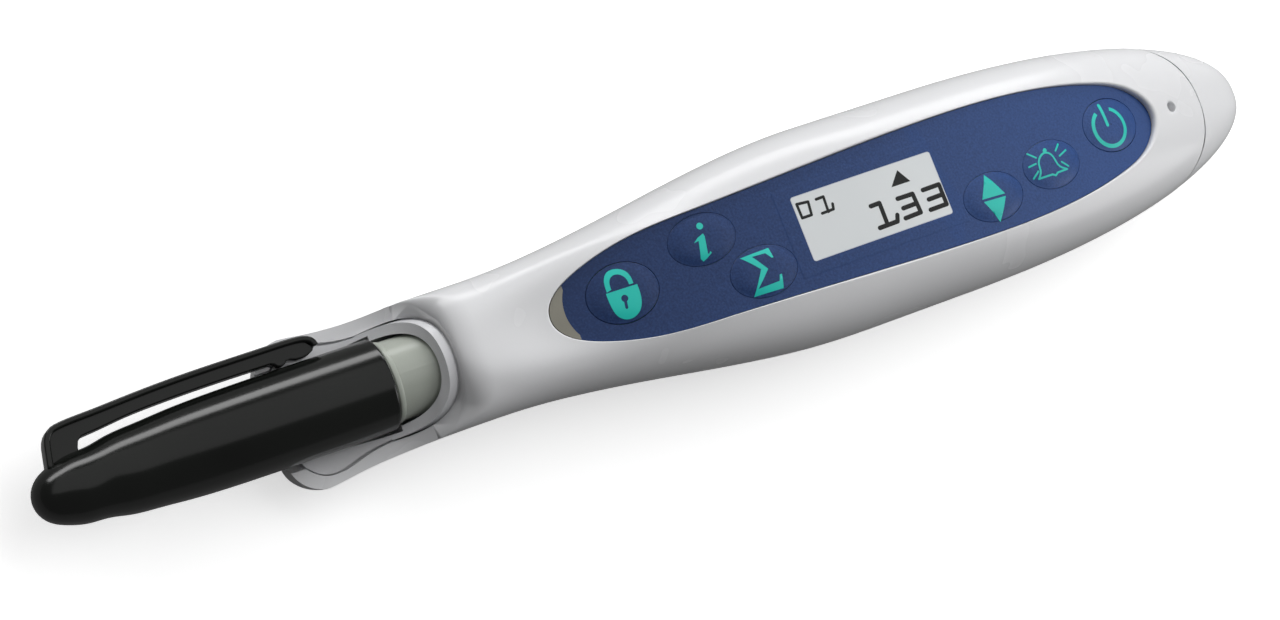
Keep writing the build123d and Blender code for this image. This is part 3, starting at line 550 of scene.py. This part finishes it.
display_face = finish("display_face", reflector)
dress("lcd_glass", display_face)
dress("lcd_holder", switch_black)
dress("lcd_window", display_face)


def inside(points, outline):
    """Which points lie inside a closed outline."""
    outline = np.array(outline, float)
    found = np.zeros(len(points), bool)
    for a, b in zip(outline, np.roll(outline, -1, axis=0)):
        rise = b[1] - a[1]
        if rise:
            spans = (a[1] > points[:, 1]) != (b[1] > points[:, 1])
            found ^= spans & (points[:, 0] < a[0] + (points[:, 1] - a[1]) * (b[0] - a[0]) / rise)
    return found


def printed(name, shapes, holes, level, material, body, spacing=0.45):
    """A thin printed layer over a surface: all that lies in the shapes and in none of the holes."""
    points, edges = [], []
    for outline in shapes + holes:
        first = len(points)
        for a, b in zip(outline, outline[1:] + outline[:1]):
            pieces = max(1, round(math.dist(a, b) / spacing))
            points += [Vector(a).lerp(Vector(b), step / pieces) for step in range(pieces)]
        count = len(points) - first
        edges += [(first + i, first + (i + 1) % count) for i in range(count)]
    low, high = np.min(points, axis=0), np.max(points, axis=0)
    grid = np.stack(
        np.meshgrid(np.arange(low[0], high[0], spacing), np.arange(low[1], high[1], spacing)), -1
    ).reshape(-1, 2)
    wanted = np.any([inside(grid, outline) for outline in shapes], axis=0)
    points += [Vector(point) for point in grid[wanted]]
    flat, _, faces = delaunay_2d_cdt(points, edges, [], 0, 1e-4)[:3]
    flat = np.array(flat)
    middles = np.array([flat[face].mean(axis=0) for face in faces])
    keep = np.any([inside(middles, outline) for outline in shapes], axis=0)
    for outline in holes:
        keep &= ~inside(middles, outline)
    mesh = bpy.data.meshes.new(name)
    heights = level(flat[:, 0], flat[:, 1])
    mesh.from_pydata(
        (np.column_stack([flat, heights]) * mm).tolist(),
        [],
        [list(face) for face, kept in zip(faces, keep) if kept],
    )
    mesh.polygons.foreach_set("use_smooth", [True] * len(mesh.polygons))
    return piece(name, mesh, material, body)


def bar(start, end, width):
    """Outline of a straight stroke with round ends."""
    start, end = np.array(start, float), np.array(end, float)
    turn = math.atan2(*(end - start)[::-1])
    swing = np.linspace(-math.pi / 2, math.pi / 2, 9)
    caps = []
    for centre, first in ((end, turn), (start, turn + math.pi)):
        around = first + swing
        caps += (centre + width / 2 * np.stack([np.cos(around), np.sin(around)], -1)).tolist()
    return caps


def strokes(points, width):
    """Outlines of the straight strokes that join the points in turn."""
    return [bar(a, b, width) for a, b in zip(points, points[1:])]


reading_x, reading_y, ink_level = 3.75, 0.03, 0.012
small, large = 0.42, 0.68
segments = []
for points, width in (
    ([(-10.42, 3.85), (-8.6, 3.68), (-8.84, 1.72), (-10.38, 1.72), (-10.42, 3.85)], small),
    ([(-7.3, 3.62), (-6.08, 3.66), (-6.2, 1.36)], small),
    ([(-7.2, 1.42), (-5.3, 1.48), (-5.12, 2.26)], small),
    ([(0.4, 0.1), (1.9, 0.14), (1.86, -3.2)], large),
    ([(0.5, -3.3), (3.55, -3.24), (3.9, -2.35)], large),
    ([(4.9, -0.15), (7.5, -0.17), (7.65, -3.1), (4.95, -3.2)], large),
    ([(5.2, -1.72), (7.5, -1.66)], large),
    ([(9.3, -0.14), (12.15, -0.1), (12.15, -3.2), (9.3, -3.24)], large),
    ([(9.65, -1.72), (12.0, -1.66)], large),
):
    segments += strokes([(reading_x + u, reading_y + v) for u, v in points], width)
pointer = ((6.58, 3.84), (4.68, 1.73), (7.95, 1.71))
segments.append([(reading_x + u, reading_y + v) for u, v in pointer])
segment_black = moulded("segment_black", (0.012, 0.013, 0.013), roughness=0.5, grain=0.02)
printed(
    "display_digits",
    segments,
    [],
    lambda x, y: panel_height(x) + ink_level,
    segment_black,
    "housing",
    2.0,
)

view_x, view_y, view_length, view_width, view_corner = 4.52, 0.15, 23.5, 9.55, 0.3
view_line, view_border = 0.12, 0.85
face_level, border_level, line_level = 0.005, 0.006, 0.01


def view_outline(margin):
    """Outline of the window's clear part, grown by a margin."""
    corner = view_corner + margin
    return [
        (
            view_x + u * (view_length / 2 - view_corner) + corner * math.cos(angle),
            view_y + v * (view_width / 2 - view_corner) + corner * math.sin(angle),
        )
        for u, v, start in ((1, 1, 0), (-1, 1, 1), (-1, -1, 2), (1, -1, 3))
        for angle in np.linspace(start, start + 1, 5) * math.pi / 2
    ]


pane = printed(
    "window_face",
    [view_outline(0.0)],
    [],
    lambda x, y: panel_height(x) + face_level,
    display_face,
    "housing",
    1.0,
)
# A thin pale line round the clear part: painted highlight, for the light that the window's bevelled
# edge catches.
printed(
    "window_edge_highlight",
    [view_outline(view_line)],
    [view_outline(0.0)],
    lambda x, y: panel_height(x) + line_level,
    moulded("window_edge_highlight", (0.62, 0.66, 0.72), roughness=0.3),
    "housing",
    1.0,
)

# The panel. A printed polyester film with a fine texture, glued into the sunk face of the upper
# shell.
# The display's frame shows through it as a faint step. Its colour is darker towards the marker and
# paler towards the tail: painted shade and painted reflection, for the light that falls more
# brightly on the tail's end.
frame_x, frame_half_length, frame_half_width, frame_step = 4.4, 14.0, 6.4, 0.35


def printed_film(start, shader):
    """Blue print with a fine sparkle and painted shade towards the marker, and the frame's step in
    relief.
    """
    place = start.node("ShaderNodeTexCoord", output="Object")
    x = start.node("ShaderNodeSeparateXYZ", output="X", Vector=place) * 1000.0
    y = start.node("ShaderNodeSeparateXYZ", output="Y", Vector=place) * 1000.0
    painted_shade_share = (x - panel_front) / (panel_rear - panel_front)
    sparkle = start.node("ShaderNodeTexNoise", Vector=place, Scale=3200.0, Detail=2.0)
    weave = start.node("ShaderNodeTexVoronoi", Vector=place, Scale=2400.0)
    # Painted shade and painted reflection: the colour runs from dark at the marker's end to pale at
    # the tail.
    stops = [(0.0, (0.014, 0.036, 0.118, 1)), (1.0, (0.033, 0.084, 0.265, 1))]
    beyond_end, beyond_side = abs(x - frame_x) - frame_half_length, abs(y) - frame_half_width
    outside = start.maths("MAXIMUM", beyond_end, beyond_side)
    step = start.node(
        "ShaderNodeMapRange",
        {"interpolation_type": "SMOOTHSTEP"},
        Value=outside,
        From_Min=0.0,
        From_Max=frame_step,
        To_Min=1.0,
        To_Max=0.0,
    )
    relief = step * 0.9 + weave * 0.35 + sparkle * 0.25
    shader.inputs["Specular IOR Level"].default_value = 0.35
    return {
        "Base Color": start.node(
            "ShaderNodeValToRGB", {"stops": stops}, Fac=painted_shade_share + (sparkle - 0.5) * 1.1
        ),
        "Roughness": 0.4 + (sparkle - 0.5) * 0.3,
        "Normal": start.node("ShaderNodeBump", Height=relief, Strength=0.5, Distance=0.0001),
    }


panel_blue = finish("panel_blue", printed_film)
dress("display_overlay", panel_blue)
window_border = printed(
    "window_border",
    [view_outline(view_border)],
    [view_outline(view_line)],
    lambda x, y: panel_height(x) + border_level,
    panel_blue,
    "housing",
    1.0,
)

# The keys. Six domes embossed in the panel's film over silicone pads, each with its sign printed
# on it. A key's dome meets the panel's surface smoothly and sinks with its pad.
keys = {
    "lock": (-35.7, 0.2, 5.34, 4.24),
    "info": (-22.1, 3.6, 5.19, 3.69),
    "sum": (-15.1, -3.6, 5.19, 3.69),
    "arrows": (23.8, -4.4, 5.19, 3.69),
    "alarm": (35.6, -2.6, 5.19, 3.69),
    "power": (48.8, 0.3, 5.14, 4.14),
}
dome_height, dome_skirt, ink_lift = 0.5, 0.35, 0.025
sign_teal = moulded("sign_teal", (0.012, 0.6, 0.51), roughness=0.4, grain=0.08, mottle=0.05)


def dome_level(key, x, y):
    """Height of a key's dome."""
    key_x, key_y, key_along, key_across = keys[key]
    out = np.clip(np.hypot((x - key_x) / key_along, (y - key_y) / key_across), 0, 1)
    return panel_height(x) + dome_height * (1 - out**4.5) ** 1.6


def ring_band(centre, outer, inner, start, end):
    """Outline of a stretch of a flat ring, between two angles in degrees."""
    around = np.radians(np.linspace(start, end, 40))
    unit = np.stack([np.cos(around), np.sin(around)], -1)
    return (np.array(centre) + np.concatenate([unit * outer, unit[::-1] * inner])).tolist()


def round_dot(centre, radius):
    """Outline of a round dot."""
    around = np.linspace(0, 2 * math.pi, 20, endpoint=False)
    return (np.array(centre) + radius * np.stack([np.cos(around), np.sin(around)], -1)).tolist()


shackle_outer = [
    (-2.28, 0.72), (-2.0, 2.5), (-1.26, 3.38), (0.26, 3.45), (1.42, 2.59), (1.77, 1.4), (1.76, 0.74)
]
shackle_inner = [
    (1.12, 0.77), (1.08, 1.37), (0.8, 2.06), (-0.04, 2.69), (-0.89, 2.59), (-1.4, 1.96),
    (-1.54, 0.89),
]
lock_body = [
    (2.22, 0.45), (1.98, -2.0), (1.37, -3.13), (0.4, -3.72), (-0.88, -3.68), (-2.01, -2.75),
    (-2.33, -1.84), (-2.47, 0.6),
]
letter_stem = [
    (-1.47, -0.21), (-0.68, 0.36), (0.29, 0.69), (0.38, 0.2), (-0.08, -2.21), (0.07, -2.32),
    (0.42, -2.0), (0.5, -2.3), (-0.43, -2.85), (-1.01, -3.06), (-1.31, -2.61), (-0.73, -0.11),
]
sigma = [
    (-2.73, 2.83), (1.8, 2.92), (1.89, 1.39), (1.61, 1.4), (0.98, 2.32), (-1.11, 2.46),
    (0.49, 0.09), (-1.91, -2.15), (1.48, -2.06), (1.82, -1.22), (2.18, -1.2), (1.82, -3.2),
    (-2.83, -3.0), (-0.54, 0.37),
]
bell_side = [
    (-3.31, -1.53), (-2.62, -0.6), (-2.42, 0.63), (-1.76, 1.5), (-0.6, 1.9), (0.3, 1.35),
    (0.62, 0.3), (0.9, -0.6), (2.12, -1.47),
]
bell_rays = [
    ((-3.44, 2.59), (-2.45, 1.6)),
    ((-4.15, 0.61), (-2.9, 0.75)),
    ((-4.09, -1.23), (-3.0, -0.44)),
    ((2.4, 2.53), (1.33, 1.69)),
    ((3.25, 1.32), (1.65, 0.76)),
    ((2.54, -1.11), (1.61, -0.2)),
]
signs = {
    "lock": (
        [
            curve_through(shackle_outer, 24).tolist() + curve_through(shackle_inner, 24).tolist(),
            curve_through(lock_body, 30).tolist(),
        ],
        [round_dot((-0.19, -0.86), 0.5), bar((-0.2, -0.95), (-0.36, -2.15), 0.42)],
    ),
    "info": ([round_dot((0.24, 1.82), 0.5), letter_stem], []),
    "sum": ([sigma], []),
    "arrows": (
        [
            [(-0.2, 3.52), (-2.31, 0.06), (1.78, -0.14)],
            [(-2.19, -0.35), (1.74, -0.51), (-0.49, -3.89)],
        ],
        [],
    ),
    "alarm": (
        strokes(curve_through(bell_side, 22).tolist(), 0.3)
        + strokes([(-3.31, -1.53), (-0.8, -1.55), (-0.3, -1.85), (0.2, -1.53), (2.12, -1.47)], 0.3)
        + [bar((-0.55, 2.15), (-0.4, 2.3), 0.6)]
        + [bar(*ray, 0.28) for ray in bell_rays],
        [],
    ),
    "power": (
        [ring_band((-0.5, -0.35), 3.25, 2.65, 120, 425), bar((-0.75, 3.3), (-0.72, 0.05), 0.55)],
        [],
    ),
}
for key, (key_x, key_y, key_along, key_across) in keys.items():
    around = np.linspace(0, 2 * math.pi, 96, endpoint=False)
    rows = []
    for out in np.concatenate([np.linspace(0.02, 0.6, 8), np.linspace(0.64, 1, 16)]):
        x, y = key_x + key_along * out * np.cos(around), key_y + key_across * out * np.sin(around)
        rows.append(np.stack([x, y, dome_level(key, x, y)], -1))
    rows.append(rows[-1] - [0, 0, dome_skirt])
    dome = piece(f"{key}_dome", sheet_mesh(f"{key}_dome", rows), panel_blue, f"{key}_key")
    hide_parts(f"key_{key}")
    shapes, holes = (
        [[(key_x + u, key_y + v) for u, v in outline] for outline in group] for group in signs[key]
    )
    printed(
        f"{key}_sign",
        shapes,
        holes,
        lambda x, y: dome_level(key, x, y) + ink_lift,
        sign_teal,
        f"{key}_key",
    )

# The lens. A crescent of smoky translucent acrylic at the panel's front end, which the lamp on the
# board lights through its leg.
lens_smoke = moulded("lens_smoke", (0.27, 0.26, 0.215), roughness=0.25, coat=0.4, mottle=0.15)
dress("indicator_lens", lens_smoke)

# The carriage. Satin white ABS: the ring and sleeve that hold the marker, and the spoon that runs
# forward under its cap. It slides back against the spring when the marker is pressed.
satin_white = (0.72, 0.725, 0.745)
carriage_white = moulded("carriage_white", satin_white, roughness=0.34, coat=0.1, grain=0.08)
dress("pen_carriage", carriage_white)

# The marker. A grey moulded barrel around its felt reservoir, a black nose piece and a fibre nib.
# A narrow raised ring runs round the barrel behind the cap's mouth.
barrel_grey = moulded("barrel_grey", (0.42, 0.45, 0.40), roughness=0.33, coat=0.15, mottle=0.05)
dress("marker_barrel", barrel_grey)
dress("marker_section", moulded("section_black", (0.02, 0.02, 0.02), roughness=0.3))
ink_felt = moulded("ink_felt", (0.03, 0.03, 0.04), roughness=0.9, grain=0.8, grain_scale=5000.0)
dress("marker_nib", ink_felt)
dress("ink_reservoir", ink_felt)

round_count = 96
shoulder_start, shoulder_radius = -69.75, 5.87
shoulder_profile = ((0, -0.27), (0.05, -0.07), (0.2, 0), (0.65, 0), (0.8, -0.07), (0.9, -0.22))


def lathe_rows(profile):
    """Rows of points round the marker's axis, one for each place and radius of a profile."""
    around = np.linspace(0, 2 * math.pi, round_count, endpoint=False)
    return [
        np.stack(
            [
                np.full(round_count, x),
                radius * np.cos(around),
                marker_height + radius * np.sin(around),
            ],
            -1,
        )
        for x, radius in profile
    ]


shoulder_mesh = sheet_mesh(
    "barrel_shoulder",
    lathe_rows([(shoulder_start + x, shoulder_radius + drop) for x, drop in shoulder_profile]),
)
shoulder = piece("barrel_shoulder", shoulder_mesh, barrel_grey, "marker")

# The marker's cap. Glossy black polypropylene, tapered to a blunt nose, with a long clip: a
# rounded flange on a thinner web, which bends down to the nose and ends in a small paddle.
cap_front, cap_length, cap_radius, mouth_round = -119.7, 49.7, 6.6, 0.35
cap_bore, cap_bore_depth = 5.3, 30.0
cap_black = moulded("cap_black", (0.0042, 0.0052, 0.0042), roughness=0.18, grain=0.02, mottle=0.25)
cap_shader = cap_black.node_tree.nodes["Principled BSDF"]
cap_shader.inputs["Specular IOR Level"].default_value = 0.65
cap_stations = [
    (0, 0), (0.35, 1.6), (1.5, 3.05), (3.6, 4.1), (6.2, 4.75), (8.2, 4.87), (9.6, 5.05),
    (11.3, 5.42), (15.7, 5.87), (19.7, 6.2), (27.7, 6.52), (38.0, cap_radius), (49.2, cap_radius),
]
nose = curve_through(cap_stations, 90, ((0, 1), (1, 0)))
mouth = [
    (
        cap_length - mouth_round * (1 - math.sin(t)),
        cap_radius - mouth_round * (1 - math.cos(t)),
    )
    for t in np.linspace(0, math.pi / 2, 5)
]
bore_floor = cap_length - cap_bore_depth
profile = np.concatenate(
    [
        nose,
        mouth,
        [(cap_length, cap_bore + 0.1), (cap_length - 0.2, cap_bore)],
        [(bore_floor, cap_bore), (bore_floor, 0)],
    ]
)
profile[:, 1] = np.clip(profile[:, 1], 0.01, None)
rows = lathe_rows([(cap_front + x, radius) for x, radius in profile])
cap_body = piece("cap_body", sheet_mesh("cap_body", rows), cap_black, "cap")
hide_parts("marker_cap")


def plate(name, outline, half_thickness, edge_round, material, body):
    """A flat plate with rounded edges at the marker's height, from an outline along the cap."""
    curve = bpy.data.curves.new(name, "CURVE")
    curve.dimensions = "2D"
    curve.fill_mode = "BOTH"
    spline = curve.splines.new("POLY")
    spline.points.add(len(outline) - 1)
    for point, (x, y) in zip(spline.points, outline):
        point.co = ((cap_front + x) * mm, y * mm, 0, 1)
    spline.use_cyclic_u = True
    curve.bevel_depth = edge_round * mm
    curve.bevel_resolution = 3
    curve.offset = -edge_round * mm
    curve.extrude = (half_thickness - edge_round) * mm
    shape = bpy.data.objects.new(name, curve)
    bpy.context.scene.collection.objects.link(shape)
    graph = bpy.context.evaluated_depsgraph_get()
    mesh = bpy.data.meshes.new_from_object(shape.evaluated_get(graph))
    bpy.data.objects.remove(shape)
    mesh.transform(Matrix.Translation((0, 0, marker_height * mm)))
    mesh.materials.clear()
    mesh.polygons.foreach_set("use_smooth", [True] * len(mesh.polygons))
    mesh.set_sharp_from_angle(angle=math.radians(50))
    return piece(name, mesh, material, body)


clip_back = curve_through(
    [
        (3.1, 3.6), (3.55, 5.9), (4.05, 7.6), (4.9, 8.55), (6.3, 8.95), (10.2, 9.2), (15.3, 9.5),
        (21.0, 9.78), (28.0, 9.9), (36.0, 9.9), (40.0, 9.83), (41.6, 9.55), (42.6, 8.85),
        (42.9, 8.0),
    ],
    70,
)
clip_step = np.gradient(clip_back, axis=0)
clip_step /= np.linalg.norm(clip_step, axis=1)[:, None]
flange_thickness, flange_half, flange_round = 0.85, 1.9, 0.3
web_half, web_round = 1.2, 0.2
clip_inner = clip_back + flange_thickness * np.stack([clip_step[:, 1], -clip_step[:, 0]], -1)
clip_flange = plate(
    "clip_flange",
    np.concatenate([clip_back, clip_inner[::-1]]).tolist(),
    flange_half,
    flange_round,
    cap_black,
    "cap",
)
web_edge = curve_through(
    [
        (7.7, 4.2), (7.85, 5.2), (8.4, 6.15), (9.6, 6.42), (14.4, 6.95), (20.0, 7.3),
        (27.0, 7.45), (35.8, 7.4),
    ],
    36,
)
grip_nub = [
    (36.3, 7.2), (36.6, 6.8), (37.1, 6.65), (37.7, 6.8), (38.0, 7.15), (38.6, 7.15), (39.4, 6.9),
    (40.4, 6.85), (41.2, 7.0), (42.0, 7.4), (42.3, 7.9),
]
flange_middle = clip_back[:-4] + (clip_inner - clip_back)[:-4] * 0.5
clip_web = plate(
    "clip_web",
    np.concatenate([flange_middle, grip_nub[::-1], web_edge[::-1]]).tolist(),
    web_half,
    web_round,
    cap_black,
    "cap",
)
dress("cap_inner_seal", moulded("seal_white", (0.75, 0.75, 0.72), roughness=0.4))

# The table top. One large pale matt sheet that keeps the counter's soft shadow. It lies a hair
# below the rest face, so that the two never share a plane.
def where_seen(start, in_gloss):
    """1 for the rays that show the background, and a share of it for the glossy ones."""
    seen = start.node("ShaderNodeLightPath", output="Is Camera Ray")
    seen = seen + start.node("ShaderNodeLightPath", output="Is Transmission Ray")
    return seen + start.node("ShaderNodeLightPath", output="Is Glossy Ray") * in_gloss


table_half, table_gap = 3.0, 0.00004
table_in_gloss, table_glow = 0.1, 0.54
corners = [(u * table_half, v * table_half, 0) for u, v in ((-1, -1), (1, -1), (1, 1), (-1, 1))]
table = bpy.data.objects.new("table_top", bpy.data.meshes.new("table_top"))
table.data.from_pydata(corners, [], [(0, 1, 2, 3)])
table.location.z = -table_gap
bpy.context.scene.collection.objects.link(table)
table_finish = bpy.data.materials.new("table_finish")
table_finish.use_nodes = True
tree = table_finish.node_tree
tree.nodes.clear()
start = Socket(tree)
seen = where_seen(start, table_in_gloss)
matt = start.node("ShaderNodeBsdfDiffuse", Color=(0.12, 0.12, 0.12, 1))
pale = start.node(
    "ShaderNodeAddShader",
    _0=start.node("ShaderNodeBsdfDiffuse", Color=(0.9, 0.9, 0.9, 1)),
    _1=start.node("ShaderNodeEmission", Color=(1, 1, 1, 1), Strength=table_glow),
)
table_shade = start.node("ShaderNodeMixShader", _0=seen, _1=matt, _2=pale)
end = tree.nodes.new("ShaderNodeOutputMaterial")
tree.links.new(table_shade.socket, end.inputs["Surface"])
table.data.materials.append(table_finish)

# Studio light: a dim room that is white where it is seen, a large lamp overhead, a soft one above
# the tail, a long low one beyond the clip's side and a small low one at the tail.
world = bpy.data.worlds.new("studio")
world.use_nodes = True
bpy.context.scene.world = world
room = Socket(world.node_tree)
room_light, room_in_gloss = 0.09, 0.02
world.node_tree.nodes["Background"].inputs["Color"].default_value = (1, 1, 1, 1)
world.node_tree.links.new(
    (room_light + where_seen(room, room_in_gloss) * (1 - room_light)).socket,
    world.node_tree.nodes["Background"].inputs["Strength"],
)
aim = Vector((-0.01, 0.0, 0.01))
for name, place, length, height, power, in_gloss in (
    ("ceiling_lamp", Vector((0.1, 0.24, 0.8)), 2.2, 1.1, 2.8, True),
    ("soft_lamp", Vector((0.38, 0.17, 0.55)), 0.8, 0.5, 2.6, False),
    ("low_lamp", Vector((0.02, 0.47, 0.13)), 0.9, 0.15, 1.8, True),
    ("tail_lamp", Vector((0.35, -0.22, 0.2)), 0.25, 0.25, 0.42, True),
):
    lamp = bpy.data.objects.new(name, bpy.data.lights.new(name, "AREA"))
    lamp.data.shape = "RECTANGLE"
    lamp.data.size = length
    lamp.data.size_y = height
    lamp.data.energy = power
    lamp.visible_glossy = in_gloss
    lamp.matrix_world = Matrix.Translation(place) @ (
        (aim - place).to_track_quat("-Z", "Y").to_matrix().to_4x4()
    )
    bpy.context.scene.collection.objects.link(lamp)
